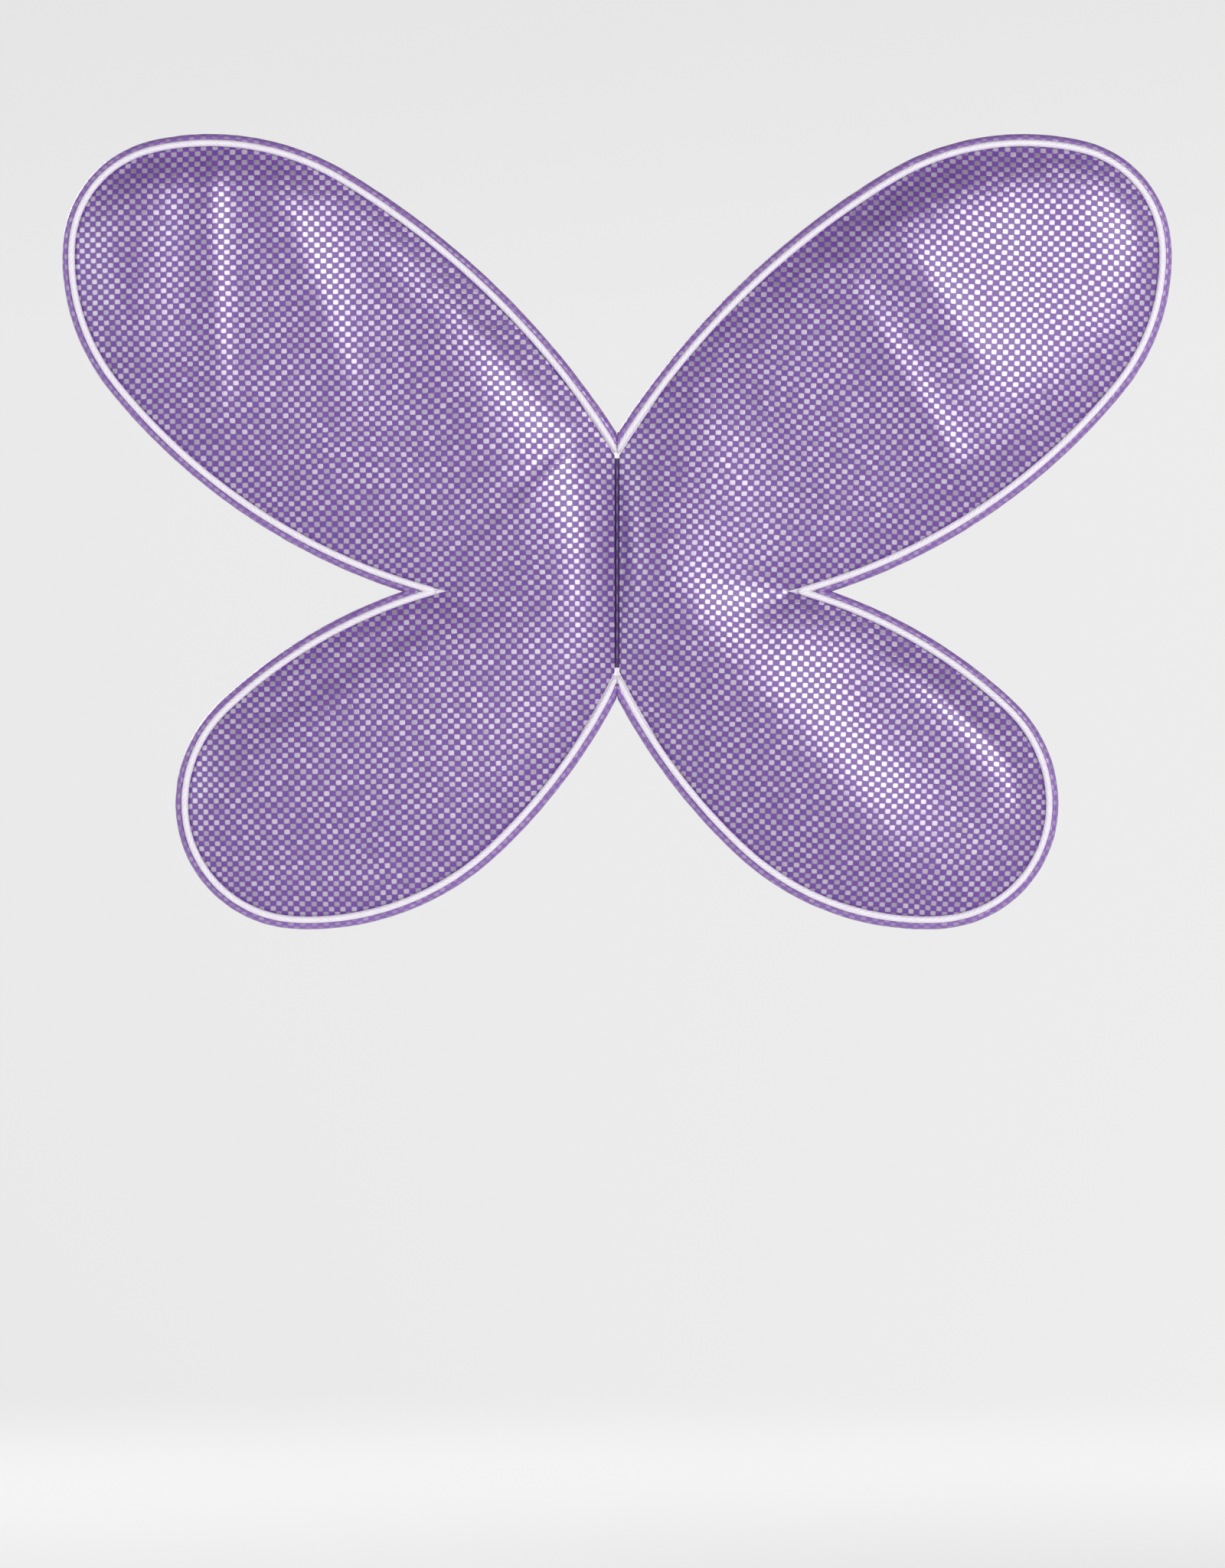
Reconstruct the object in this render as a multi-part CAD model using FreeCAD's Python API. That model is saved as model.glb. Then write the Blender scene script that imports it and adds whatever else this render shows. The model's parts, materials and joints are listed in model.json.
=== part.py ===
"""Doll-size fairy wings: two padded wings sewn to a spine, with elastic arm loops.

Millimetres and degrees. +X is to the right seen from behind the wearer, +Z is up, and +Y points
at the wearer. The origin is the middle of the back patch's flat face, which lies on the wearer's back.
The left wing is built on the -X side and the right wing is its mirror image.

A place in a wing is (x, z, t), where t is the height above the wing's middle plane towards -Y.
An inset is measured inwards from the wing's silhouette.
"""
import FreeCAD, Part
import math
import os

V = FreeCAD.Vector

# Silhouette of one wing: two petals, each a chain of tangent arcs (radius, sweep).
UPPER = {
    "start": (1.9, 26.5),
    "heading": 121.7,
    "turn": 1,
    "arcs": [(184.0, 27.3), (59.0, 44.1), (25.2, 73.8), (47.4, 42.2), (138.6, 34.4)],
}
LOWER = {
    "start": (2.0, -25.3),
    "heading": -115.7,
    "turn": -1,
    "arcs": [(131.0, 21.1), (61.5, 46.4), (27.7, 84.1), (31.0, 49.4), (113.0, 27.6)],
}
PETAL_OVERLAP = 14.0        # extra sweep of each last arc, inside the other petal
PETAL_CLOSE_X = 6.0         # petals close beyond the centre line before they are trimmed

# Wing section
WING_Y = -5.4               # middle plane of both wings, which holds the fold axis
HALF_DEPTH = 1.8            # middle plane to either face
SHEET = 0.55                # fabric with its interlining
ROOT = 1.0                  # the wing starts this far from the fold axis
ROOT_DEPTH = 0.35           # half depth at the root
TAPER_END = 8.0             # the wing has its full depth from here on
FAR = 140.0

# Edge: back fabric rolled over the wire, piping on its tape, then the outer panel
ROLL_WALL = 0.45
ROLL_LIP = 1.4
ROLL_TOP = 1.4
LIP_BOTTOM = 0.95
WIRE_RADIUS = 0.75
WIRE_INSET = 1.25
WIRE_HEIGHT = -0.1
WIRE_LEG = 8.0              # the wire's straight leg beside the spine
WIRE_CORNER = 5.0
WIRE_END_GAP = 0.1
SLEEVE_RADIUS = 1.0
SLEEVE_BORE = 0.76
SLEEVE_LENGTH = 10.0
TAPE_INSETS = (1.5, 6.0)
TAPE_HEIGHTS = (0.75, 1.1)
TAPE_START = 9.5
CORD_RADIUS = 0.72
CORD_INSET = 2.2
CORD_HEIGHT = 1.83
CORD_DROP_START = 9.0       # nearer the spine the piping slopes down to the middle plane
CORD_DROP_END = (2.4, 0.2)
CORD_KNEE_RADIUS = 0.74     # a little over the cord's radius, so that the bend has no crack
MITRE_LAP = 0.1             # the cord's two lengths join over this height at the side notch
PANEL_INSET = 3.0
WADDING_INSET = 2.6
WADDING_START = 9.4
WADDING_HEIGHTS = (-1.15, 0.65)

# Spine
PATCH = (16.0, 40.0, 1.2)   # width, height, thickness
PATCH_CORNER = 5.0
STITCH = (2.0, 0.5, 0.3)    # length, width, depth
STITCH_GAP = 1.6
STITCH_INSET = 1.6
STITCH_SUNK = 0.05
SEAM_FOOT = 5.2
SEAM_WEB = 0.8
SEAM_TOP = 24.0
SEAM_BOTTOM = -22.5
SEAM_CREST = -5.25
SEAM_STITCH = (0.6, 2.6, 0.35)
SEAM_STITCH_PITCH = 4.0

# Arm loops
ELASTIC_WIDTH = 6.0
ELASTIC_THICKNESS = 0.8
LOOP_END_X = 3.0
LOOP_HEIGHT = 14.0
LOOP_OUT = 18.0
LOOP_DEPTH = 34.0
LOOP_HOLE = (-9.0, 16.0, 0.0)
LOOP_STEPS = 28
LOOP_SETTLE = 0.25          # share of the loop over which the band turns away from flat
TACK = (1.0, 5.0, 0.25)


def place(x, z, t):
    return V(x, WING_Y - t, z)


def on_circle(centre, radius, angle):
    return (centre[0] + radius * math.cos(angle), centre[1] + radius * math.sin(angle))


def arc_edge(centre, radius, first, last, t):
    points = [on_circle(centre, radius, a) for a in (first, (first + last) / 2.0, last)]
    return Part.Arc(*[place(x, z, t) for x, z in points]).toShape()


def line_edge(a, b, t):
    return Part.LineSegment(place(a[0], a[1], t), place(b[0], b[1], t)).toShape()


def petal_arcs(petal, inset):
    """The petal's edge as (centre, radius, first angle, last angle), inset from the silhouette."""
    x, z = petal["start"]
    heading = math.radians(petal["heading"])
    turn = petal["turn"]
    sweeps = [math.radians(sweep) for _, sweep in petal["arcs"]]
    sweeps[-1] += math.radians(PETAL_OVERLAP)
    arcs = []
    for (radius, _), sweep in zip(petal["arcs"], sweeps):
        centre = (x - turn * radius * math.sin(heading), z + turn * radius * math.cos(heading))
        first = heading - turn * math.pi / 2.0
        last = first + turn * sweep
        arcs.append((centre, radius - inset, first, last))
        x, z = on_circle(centre, radius, last)
        heading += turn * sweep
    return arcs


def petal_slab(petal, inset, low, high):
    arcs = petal_arcs(petal, inset)
    edges = [arc_edge(*arc, low) for arc in arcs]
    first = on_circle(arcs[0][0], arcs[0][1], arcs[0][2])
    last = on_circle(arcs[-1][0], arcs[-1][1], arcs[-1][3])
    corners = [last, (PETAL_CLOSE_X, last[1]), (PETAL_CLOSE_X, first[1]), first]
    edges += [line_edge(a, b, low) for a, b in zip(corners, corners[1:])]
    face = Part.Face(Part.Wire(edges))
    return face.extrude(V(0, low - high, 0))


def wing_slab(inset, low, high):
    """Both petals together, between two heights."""
    both = petal_slab(UPPER, inset, low, high).fuse(petal_slab(LOWER, inset, low, high))
    return both.removeSplitter()


def section(points):
    """A prism with the given (distance from the fold axis, height) section, all along the wing."""
    corners = [V(-r, WING_Y - t, -FAR) for r, t in points]
    return Part.Face(Part.makePolygon(corners + corners[:1])).extrude(V(0, 0, 2 * FAR))


def sheet_section(side):
    """The face fabric: thin at the root, then at the wing's full depth. side is 1 or -1."""
    inner = HALF_DEPTH - SHEET
    points = [(ROOT, 0.02), (ROOT, ROOT_DEPTH), (TAPER_END, HALF_DEPTH), (FAR, HALF_DEPTH)]
    points += [(FAR, inner), (TAPER_END, inner)]
    return section([(r, side * t) for r, t in points])


def band_section(start, heights):
    low, high = heights
    return section([(start, low), (start, high), (FAR, high), (FAR, low)])


def meeting_point(inset):
    """Where the two petals' last arcs cross, at the side notch."""
    (c1, r1, _, _) = petal_arcs(UPPER, inset)[-1]
    (c2, r2, _, _) = petal_arcs(LOWER, inset)[-1]
    dx, dz = c2[0] - c1[0], c2[1] - c1[1]
    gap = math.hypot(dx, dz)
    along = (gap * gap + r1 * r1 - r2 * r2) / (2.0 * gap)
    across = math.sqrt(r1 * r1 - along * along)
    mid = (c1[0] + along * dx / gap, c1[1] + along * dz / gap)
    ends = [(mid[0] + s * across * dz / gap, mid[1] - s * across * dx / gap) for s in (1, -1)]
    return min(ends)


def tube(edges, radius):
    path = Part.Wire(edges)
    start = edges[0].valueAt(edges[0].FirstParameter)
    tangent = edges[0].tangentAt(edges[0].FirstParameter)
    ring = Part.Wire(Part.makeCircle(radius, start, tangent))
    return path.makePipeShell([ring], True, False)


def direction(a, b):
    return math.atan2(b[1] - a[1], b[0] - a[0])


# ---- wing pieces, left side ----

def outer_panel():
    return wing_slab(PANEL_INSET, -0.1, HALF_DEPTH + 0.2).common(sheet_section(1))


def inner_panel():
    """The wearer's side, rolled round the edge and over the wire."""
    back = wing_slab(0.0, -HALF_DEPTH - 0.2, 0.1).common(sheet_section(-1))
    floor = -HALF_DEPTH + SHEET / 2.0
    wall = wing_slab(0.0, floor, ROLL_TOP).cut(wing_slab(ROLL_WALL, floor - 1.0, ROLL_TOP + 1.0))
    lip = wing_slab(0.0, LIP_BOTTOM, ROLL_TOP).cut(wing_slab(ROLL_LIP, 0.0, ROLL_TOP + 1.0))
    wedge = [(ROOT, -ROOT_DEPTH), (TAPER_END, -HALF_DEPTH), (FAR, -HALF_DEPTH)]
    wedge += [(FAR, ROLL_TOP), (TAPER_END, ROLL_TOP), (ROOT, ROOT_DEPTH)]
    rolled = wall.fuse(lip).common(section(wedge))
    return back.fuse(rolled).removeSplitter()


def wadding():
    low, high = WADDING_HEIGHTS
    return wing_slab(WADDING_INSET, low, high).common(band_section(WADDING_START, WADDING_HEIGHTS))


def piping_tape():
    low, high = TAPE_HEIGHTS
    ring = wing_slab(TAPE_INSETS[0], low, high).cut(wing_slab(TAPE_INSETS[1], low - 1.0, high + 1.0))
    return ring.common(band_section(TAPE_START, TAPE_HEIGHTS))


def wire_corner(petal):
    """The arc between the wire's leg and the petal's first arc: its centre and its last angle."""
    centre, radius, _, _ = petal_arcs(petal, WIRE_INSET)[0]
    x = -WIRE_LEG - WIRE_CORNER
    rise = math.sqrt((radius - WIRE_CORNER) ** 2 - (x - centre[0]) ** 2)
    corner = (x, centre[1] + petal["turn"] * rise)
    return corner, direction(centre, corner)


def wire_half(petal):
    """One petal's wire, from beside the spine to the side notch."""
    t = WIRE_HEIGHT
    corner, leaves = wire_corner(petal)
    arcs = petal_arcs(petal, WIRE_INSET)
    notch = meeting_point(0.0)
    leg_end = (-WIRE_LEG, petal["turn"] * WIRE_END_GAP)
    edges = [line_edge(leg_end, (-WIRE_LEG, corner[1]), t)]
    edges.append(arc_edge(corner, WIRE_CORNER, 0.0, leaves, t))
    for i, (centre, radius, first, last) in enumerate(arcs):
        if i == 0:
            first = leaves
        if i == len(arcs) - 1:
            last = direction(centre, notch)
            while (last - first) * petal["turn"] < 0:
                last += petal["turn"] * 2.0 * math.pi
        edges.append(arc_edge(centre, radius, first, last, t))
    return edges


def frame_wire():
    """A closed loop of wire. It turns round the side notch in one tight arc."""
    notch = meeting_point(0.0)
    up = direction(notch, petal_arcs(UPPER, 0.0)[-1][0])
    down = direction(notch, petal_arcs(LOWER, 0.0)[-1][0])
    turn = arc_edge(notch, WIRE_INSET, up, down, WIRE_HEIGHT)
    upper = tube(wire_half(UPPER), WIRE_RADIUS)
    lower = tube(wire_half(LOWER), WIRE_RADIUS)
    bend = tube([turn], WIRE_RADIUS)
    return upper.fuse(bend).fuse(lower).removeSplitter()


def wire_sleeve():
    """A crimped ferrule over the wire's two ends."""
    base = place(-WIRE_LEG, -SLEEVE_LENGTH / 2.0, WIRE_HEIGHT)
    outer = Part.makeCylinder(SLEEVE_RADIUS, SLEEVE_LENGTH, base, V(0, 0, 1))
    return outer.cut(Part.makeCylinder(SLEEVE_BORE, SLEEVE_LENGTH, base, V(0, 0, 1)))


def cord_half(petal):
    """One petal's piping cord, past the side notch, with its sloping end beside the spine."""
    arcs = petal_arcs(petal, CORD_INSET)
    centre, radius, _, _ = arcs[0]
    start = petal["turn"] * math.acos((-CORD_DROP_START - centre[0]) / radius)
    edges = [arc_edge(centre, radius, start, arcs[0][3], CORD_HEIGHT)]
    edges += [arc_edge(*arc, CORD_HEIGHT) for arc in arcs[1:]]
    end_r, end_t = CORD_DROP_END
    low_angle = petal["turn"] * math.acos((-end_r - centre[0]) / radius)
    low = on_circle(centre, radius, low_angle)
    high = edges[0].valueAt(edges[0].FirstParameter)
    fall = place(low[0], low[1], end_t) - high
    slope = Part.makeCylinder(CORD_RADIUS, fall.Length, high, fall)
    knee = Part.makeSphere(CORD_KNEE_RADIUS, high)
    return tube(edges, CORD_RADIUS).fuse(knee).fuse(slope)


def piping_cord():
    """The two lengths of cord meet in a mitre at the side notch."""
    mitre = meeting_point(CORD_INSET)[1]
    above = Part.makeBox(2 * FAR, FAR, FAR, V(-2 * FAR, -FAR, mitre - MITRE_LAP / 2.0))
    below = Part.makeBox(2 * FAR, FAR, FAR, V(-2 * FAR, -FAR, mitre + MITRE_LAP / 2.0 - FAR))
    return cord_half(UPPER).common(above).fuse(cord_half(LOWER).common(below))


# ---- spine pieces ----

def rounded_plate(width, height, radius, low_y, high_y):
    box = Part.makeBox(width, high_y - low_y, height, V(-width / 2.0, low_y, -height / 2.0))
    upright = [e for e in box.Edges if abs(e.tangentAt(e.FirstParameter).y) > 0.99]
    return box.makeFillet(radius, upright)


def patch_stitch_list():
    """Running stitches round the patch, sunk just under its flat face."""
    length, width, depth = STITCH
    half_w = PATCH[0] / 2.0 - STITCH_INSET
    half_h = PATCH[1] / 2.0 - STITCH_INSET
    pitch = length + STITCH_GAP
    y = -STITCH_SUNK - depth
    stitches = []
    rows = int((PATCH[1] - 2.0 * PATCH_CORNER) / pitch)
    columns = int((PATCH[0] - 2.0 * PATCH_CORNER + STITCH_GAP) / pitch)
    for side in (-1, 1):
        for i in range(rows):
            z = (i - (rows - 1) / 2.0) * pitch
            corner = V(side * half_w - width / 2.0, y, z - length / 2.0)
            stitches.append(Part.makeBox(width, depth, length, corner))
        for i in range(columns):
            x = (i - (columns - 1) / 2.0) * pitch
            corner = V(x - length / 2.0, y, side * half_h - width / 2.0)
            stitches.append(Part.makeBox(length, depth, width, corner))
    return stitches


def back_patch(stitches):
    plate = rounded_plate(PATCH[0], PATCH[1], PATCH_CORNER, -PATCH[2], 0.0)
    for stitch in stitches:
        pocket = Part.makeBox(stitch.BoundBox.XLength, STITCH_SUNK + STITCH[2],
                              stitch.BoundBox.ZLength,
                              V(stitch.BoundBox.XMin, stitch.BoundBox.YMin, stitch.BoundBox.ZMin))
        plate = plate.cut(pocket)
    return plate


def centre_seam_tape():
    """Folded binding: a foot under the patch and a web that carries both wings' root seams."""
    foot_y = -PATCH[2] - ELASTIC_THICKNESS
    length = SEAM_TOP - SEAM_BOTTOM
    foot_height = PATCH[1] - 2.0
    foot = Part.makeBox(SEAM_FOOT, ELASTIC_THICKNESS, foot_height,
                        V(-SEAM_FOOT / 2.0, foot_y, -foot_height / 2.0))
    web = Part.makeBox(SEAM_WEB, foot_y - SEAM_CREST, length,
                       V(-SEAM_WEB / 2.0, SEAM_CREST, SEAM_BOTTOM))
    return foot.fuse(web).removeSplitter()


def centre_seam_stitches():
    width, length, height = SEAM_STITCH
    count = int((SEAM_TOP - SEAM_BOTTOM) / SEAM_STITCH_PITCH)
    middle = (SEAM_TOP + SEAM_BOTTOM) / 2.0
    stitches = []
    for i in range(count):
        z = middle + (i - (count - 1) / 2.0) * SEAM_STITCH_PITCH
        corner = V(-width / 2.0, SEAM_CREST - height, z - length / 2.0)
        stitches.append(Part.makeBox(width, height, length, corner))
    return Part.makeCompound(stitches)


def loop_point(u):
    """The left arm loop's middle line: out of the patch, round the arm and back."""
    x = -PATCH[0] / 2.0 - LOOP_OUT * math.sin(math.pi * u)
    y = -PATCH[2] - ELASTIC_THICKNESS / 2.0 + LOOP_DEPTH * math.sin(math.pi * u) ** 2
    return V(x, y, LOOP_HEIGHT * math.cos(math.pi * u))


def band_outline(point, tangent, normal):
    """The elastic's rectangle across its run."""
    across = tangent.cross(normal).normalize() * (ELASTIC_WIDTH / 2.0)
    up = across.cross(tangent).normalize() * (ELASTIC_THICKNESS / 2.0)
    corners = [point + across + up, point - across + up, point - across - up, point + across - up]
    return Part.makePolygon(corners + corners[:1])


def arm_loop():
    flat = V(0, 1, 0)
    step = 1e-3
    top = V(-LOOP_END_X, loop_point(0).y, LOOP_HEIGHT)
    bottom = V(-LOOP_END_X, loop_point(1).y, -LOOP_HEIGHT)
    outlines = [band_outline(top, V(-1, 0, 0), flat)]
    for i in range(LOOP_STEPS + 1):
        u = i / LOOP_STEPS
        point = loop_point(u)
        tangent = (loop_point(u + step) - loop_point(u - step)).normalize()
        ease = min(1.0, min(u, 1.0 - u) / LOOP_SETTLE)
        ease = ease * ease * (3.0 - 2.0 * ease)
        inward = (V(*LOOP_HOLE) - point).normalize()
        outlines.append(band_outline(point, tangent, flat * (1.0 - ease) + inward * ease))
    outlines.append(band_outline(bottom, V(1, 0, 0), flat))
    return Part.makeLoft(outlines, True, True)


def arm_loop_tacks():
    """A bar of close stitches over each end of the elastic."""
    width, height, depth = TACK
    y = -PATCH[2] - ELASTIC_THICKNESS - depth
    middle = (LOOP_END_X + PATCH[0] / 2.0) / 2.0
    bars = []
    for x in (-middle, middle):
        for z in (-LOOP_HEIGHT, LOOP_HEIGHT):
            bars.append(Part.makeBox(width, depth, height, V(x - width / 2.0, y, z - height / 2.0)))
    return Part.makeCompound(bars)


def mirrored(shape):
    return shape.mirror(V(0, 0, 0), V(1, 0, 0))


def save(name, shape):
    shape.exportStep("parts/" + name + ".step")
    print(name, "solids", len(shape.Solids), "valid", shape.isValid(), "volume", round(shape.Volume, 1))


os.makedirs("parts", exist_ok=True)

stitches = patch_stitch_list()
save("back_patch", back_patch(stitches))
save("patch_stitches", Part.makeCompound(stitches))
save("centre_seam_tape", centre_seam_tape())
save("centre_seam_stitches", centre_seam_stitches())
save("arm_loop_tacks", arm_loop_tacks())

PAIRED = {
    "outer_panel": outer_panel,
    "inner_panel": inner_panel,
    "wadding": wadding,
    "frame_wire": frame_wire,
    "wire_sleeve": wire_sleeve,
    "piping_cord": piping_cord,
    "piping_tape": piping_tape,
    "arm_loop": arm_loop,
}
for name, make in PAIRED.items():
    left = make()
    save("left_" + name, left)
    save("right_" + name, mirrored(left))
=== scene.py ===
"""Doll-size fairy wings: padded dotted cloth, rolled edges, satin piping and elastic arm loops.

Shapes are worked out in millimetres and made in metres. A place in a wing is (x, z, t), where t is
the height above the wings' middle plane towards the camera. An inset is measured inwards from the
wing's silhouette. Both wings are worked out as the left one, and the right one is mirrored.
"""
import json
import math

import bmesh
import bpy
import numpy as np
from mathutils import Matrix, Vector, geometry, noise


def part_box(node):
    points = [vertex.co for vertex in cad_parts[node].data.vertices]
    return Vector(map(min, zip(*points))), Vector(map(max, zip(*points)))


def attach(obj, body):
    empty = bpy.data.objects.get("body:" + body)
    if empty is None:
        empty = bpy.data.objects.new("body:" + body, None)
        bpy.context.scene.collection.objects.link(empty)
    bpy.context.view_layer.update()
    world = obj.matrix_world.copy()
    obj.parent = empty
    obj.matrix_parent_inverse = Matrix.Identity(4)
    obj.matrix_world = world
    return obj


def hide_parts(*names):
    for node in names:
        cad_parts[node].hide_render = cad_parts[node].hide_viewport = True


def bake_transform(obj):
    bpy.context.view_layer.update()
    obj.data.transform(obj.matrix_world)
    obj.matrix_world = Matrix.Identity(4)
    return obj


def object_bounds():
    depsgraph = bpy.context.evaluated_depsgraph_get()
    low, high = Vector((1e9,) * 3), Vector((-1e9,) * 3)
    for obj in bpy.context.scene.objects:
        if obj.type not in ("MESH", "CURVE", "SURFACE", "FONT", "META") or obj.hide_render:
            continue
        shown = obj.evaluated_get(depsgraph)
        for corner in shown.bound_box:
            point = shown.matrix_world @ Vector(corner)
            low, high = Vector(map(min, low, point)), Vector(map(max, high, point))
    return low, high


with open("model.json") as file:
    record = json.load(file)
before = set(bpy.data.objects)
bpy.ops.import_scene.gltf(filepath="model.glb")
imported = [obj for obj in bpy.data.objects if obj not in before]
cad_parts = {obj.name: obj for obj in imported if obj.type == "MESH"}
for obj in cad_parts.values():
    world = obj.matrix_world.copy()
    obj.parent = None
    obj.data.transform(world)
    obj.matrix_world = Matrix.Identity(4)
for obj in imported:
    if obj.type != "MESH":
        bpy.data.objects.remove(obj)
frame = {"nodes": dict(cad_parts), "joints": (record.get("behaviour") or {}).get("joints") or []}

CAD_BOX = [list(corner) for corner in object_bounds()]

MM = 0.001
FOLD_Y = frame["joints"][0]["pos_m"][1] / MM  # the wings' middle plane
SIDES = {"left": -1, "right": 1}

# Wing edge, as insets and heights
PANEL_INSET = 3.0  # of the CAD outer panel, whose outline is the base of every other line
CORD_INSET = 2.15
CORD_HEIGHT = 1.95
CORD_RADIUS = 0.76
TAPE_INSETS = (1.2, 2.2, 3.1)
TAPE_HEIGHTS = (1.35, 1.6, 1.3)
ROLL_INSET = 1.2
ROLL_HEIGHT = -0.05
ROLL_RADII = (1.2, 1.6)
ROLL_SEGMENTS = 20
PIPING_SEGMENTS = 14
EDGE_STEP = 1.0
EDGE_RIPPLE = 0.05  # how much a tube's thickness varies, as a share
RIPPLE_SIZE = 2.4
EDGE_SINK = 0.75  # share of its height that an edge piece loses at the crease
EDGE_SINK_REACH = 3.0
TUBE_END = 0.15  # share of its area that a tube's rounded end starts with
TUBE_OPEN = 4.0  # but it isn't rounded this near to the crease
TAPE_WELD = 0.02

# Cloth
CLOTH_STEP = 1.7
FRONT_INSET = 2.8
BACK_INSET = 0.9
SEAM_REACH = 7.0  # how fast the cloth climbs out of the centre crease
SEAM_DIP = 0.85
SEAM_START = 0.3  # the cloth rises from this far from the centre line,
SEAM_GROOVE = 1.3  # over this width of the narrow stitched groove
CREASE_HALF = 0.55  # the cloth stops here, and the binding shows between; its dark strip stands in for the crease's shadow: painted shade
DOT_PITCH = (2.6, 2.33)
DOT_TILT = {"left": 1.2, "right": -2.8}  # degrees that the dot rows turn

ON_CREASE = 1e-3  # points this near to the cloth's inner edge are on it
TURN = 2.0 * math.pi
FAR = 1e9  # further than any place here
TINY = 1e-9  # keeps a division from being by nothing


# ---- small tools ----

def smooth(value):
    value = np.clip(value, 0.0, 1.0)
    return value * value * (3.0 - 2.0 * value)


def wobble(x, z, size, seed):
    """Gentle noise from -1 to 1, with features about size millimetres across."""
    return noise.noise(Vector((x / size, z / size, seed)))


def wobbles(points, size, seed):
    return np.array([wobble(x, z, size, seed) for x, z in points])


def in_metres(x, z, t):
    """A place in the wing, in metres."""
    return (x * MM, (FOLD_Y - t) * MM, z * MM)


def in_rows(points, heights, sign):
    return [in_metres(sign * x, z, t) for (x, z), t in zip(points, heights)]


def add_object(name, data):
    thing = bpy.data.objects.new(name, data)
    bpy.context.scene.collection.objects.link(thing)
    return thing


def make_piece(name, places, faces, material, uvs):
    """places are in metres. uvs are in millimetres, one for each place."""
    mesh = bpy.data.meshes.new(name)
    mesh.from_pydata([tuple(p) for p in places], [], [tuple(f) for f in faces])
    mesh.validate()
    mesh.polygons.foreach_set("use_smooth", [True] * len(mesh.polygons))
    layer = mesh.uv_layers.new(name="cloth")
    for loop in mesh.loops:
        layer.data[loop.index].uv = uvs[loop.vertex_index]
    mesh.materials.append(material)
    return add_object(name, mesh)


def ring_faces(rings, count, first=0):
    """Quads between rings of count places each, with one face over either end."""
    faces = []
    for i in range(rings - 1):
        for j in range(count):
            k = (j + 1) % count
            a = first + i * count
            faces.append((a + j, a + k, a + count + k, a + count + j))
    faces.append(tuple(first + j for j in reversed(range(count))))
    last = first + (rings - 1) * count
    faces.append(tuple(last + j for j in range(count)))
    return faces


def closed_piece(name, places, faces, material, uvs):
    """A piece whose faces all look outwards."""
    piece = make_piece(name, places, faces, material, uvs)
    bm = bmesh.new()
    bm.from_mesh(piece.data)
    bmesh.ops.recalc_face_normals(bm, faces=bm.faces)
    bm.to_mesh(piece.data)
    bm.free()
    return piece


# ---- outline of a wing, from the CAD outer panel ----

CAD_WELD = 1e-6  # metres: points of a CAD mesh closer than this are one
FACING = -0.2  # a face whose normal has a y under this is on the front
ROOT_REACH = 0.1  # points this near to the panel's inner edge are on the crease
NOTCH_HEIGHT = 20.0  # the side notch is within this of z = 0,
NOTCH_SIDE = -15.0  # and on the left of this x
SOFTEN_ROUNDS = 6
RUN_ON_STEPS = 3  # the end of a line runs on in the direction of this many steps
ON_MITRE = 1e-6


def welded(node):
    """The node's CAD mesh with its points joined."""
    bm = bmesh.new()
    bm.from_mesh(frame["nodes"][node].data)
    bmesh.ops.remove_doubles(bm, verts=bm.verts, dist=CAD_WELD)
    return bm


def front_outline(node):
    """The node's outline from the front, as (x, z) points in order, in millimetres."""
    bm = welded(node)
    bm.normal_update()
    facing = {face for face in bm.faces if face.normal.y < FACING}
    rim = [e for e in bm.edges if sum(face in facing for face in e.link_faces) == 1]
    nearby = {}
    for edge in rim:
        a, b = edge.verts
        nearby.setdefault(a, []).append(b)
        nearby.setdefault(b, []).append(a)
    start = max(nearby, key=lambda v: v.co.z)
    loop = [start]
    last, here = start, nearby[start][0]
    while here is not start:
        loop.append(here)
        onward = [v for v in nearby[here] if v is not last]
        last, here = here, onward[0]
    points = np.array([(v.co.x / MM, v.co.z / MM) for v in loop])
    bm.free()
    return points


def lengths_along(points):
    steps = np.linalg.norm(np.diff(points, axis=0), axis=1)
    return np.concatenate([[0.0], np.cumsum(steps)])


def resample(points, step):
    along = lengths_along(points)
    count = max(2, int(round(along[-1] / step)) + 1)
    even = np.linspace(0.0, along[-1], count)
    return np.stack([np.interp(even, along, points[:, k]) for k in (0, 1)], axis=1)


def soften(points):
    """Evens out the small facets of the CAD mesh, ends held."""
    points = points.copy()
    for _ in range(SOFTEN_ROUNDS):
        points[1:-1] = 0.25 * points[:-2] + 0.5 * points[1:-1] + 0.25 * points[2:]
    return points


def right_normals(points):
    """Unit normals on the right of the direction of travel, as seen from the front."""
    run = np.gradient(points, axis=0)
    run /= np.linalg.norm(run, axis=1)[:, None]
    return np.stack([run[:, 1], -run[:, 0]], axis=1)


def petal_lines():
    """The left outer panel's edge from the top of the crease to its bottom, in two lines."""
    loop = front_outline("left_outer_panel")
    root = loop[:, 0] > loop[:, 0].max() - ROOT_REACH
    top = int(np.argmax(np.where(root, loop[:, 1], -FAR)))
    loop = np.roll(loop, -top, axis=0)
    down_the_crease = loop[1, 0] > loop[0, 0] - ROOT_REACH / 2.0 and loop[1, 1] < loop[0, 1]
    if down_the_crease:
        loop = np.roll(loop[::-1], 1, axis=0)
    root = loop[:, 0] > loop[:, 0].max() - ROOT_REACH
    bottom = int(np.argmin(np.where(root, loop[:, 1], FAR)))
    line = loop[:bottom + 1]
    by_notch = (np.abs(line[:, 1]) < NOTCH_HEIGHT) & (line[:, 0] < NOTCH_SIDE)
    notch = int(np.argmax(np.where(by_notch, line[:, 0], -FAR)))
    upper = soften(resample(line[:notch + 1], EDGE_STEP))
    lower = soften(resample(line[notch:], EDGE_STEP))
    return upper, lower


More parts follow.
